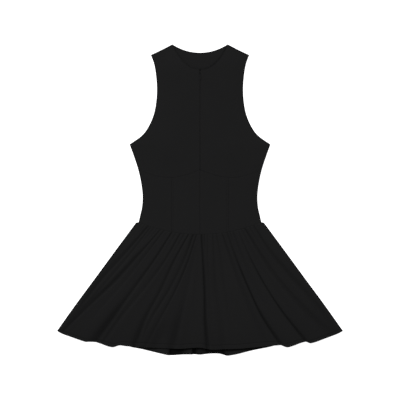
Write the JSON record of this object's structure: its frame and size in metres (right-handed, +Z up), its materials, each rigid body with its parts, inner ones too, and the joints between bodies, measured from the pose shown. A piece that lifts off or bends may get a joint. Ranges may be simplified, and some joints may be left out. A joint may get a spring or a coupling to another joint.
{
  "type": "sleeveless mini dress",
  "caption": "Sleeveless mini dress laid flat, front up: round neck, centre-front zip, cup seam, panelled midriff and gathered flared skirt.",
  "frame": {"origin": "middle of the dress's length and width, on the surface it lies on", "axes": "+Y towards the neck, +Z up out of the front, +X to the wearer's left"},
  "size_m": [0.751, 0.8232, 0.0137],
  "materials": {
    "knit": "matt black double knit with a faint sheen",
    "zip_tape": "woven black tape",
    "lacquered_metal": "black lacquer, satin"
  },
  "bodies": {
    "dress": {"back_bodice": "knit", "back_skirt": "knit", "front_upper_right": "knit", "front_upper_left": "knit", "front_midriff_centre_right": "knit", "front_midriff_centre_left": "knit", "front_midriff_side_right": "knit", "front_midriff_side_left": "knit", "front_skirt": "knit", "zip_tape_right": "zip_tape", "zip_tape_left": "zip_tape", "zip_slider": "lacquered_metal"},
    "pull": {"zip_pull": "lacquered_metal"}
  },
  "joints": [
    {"name": "pull_swing", "type": "hinge", "parent": "dress", "child": "pull", "pos_m": [0, 0.337, 0.0071], "axis": [-1, 0, 0], "range_deg": [0, 170]}
  ]
}
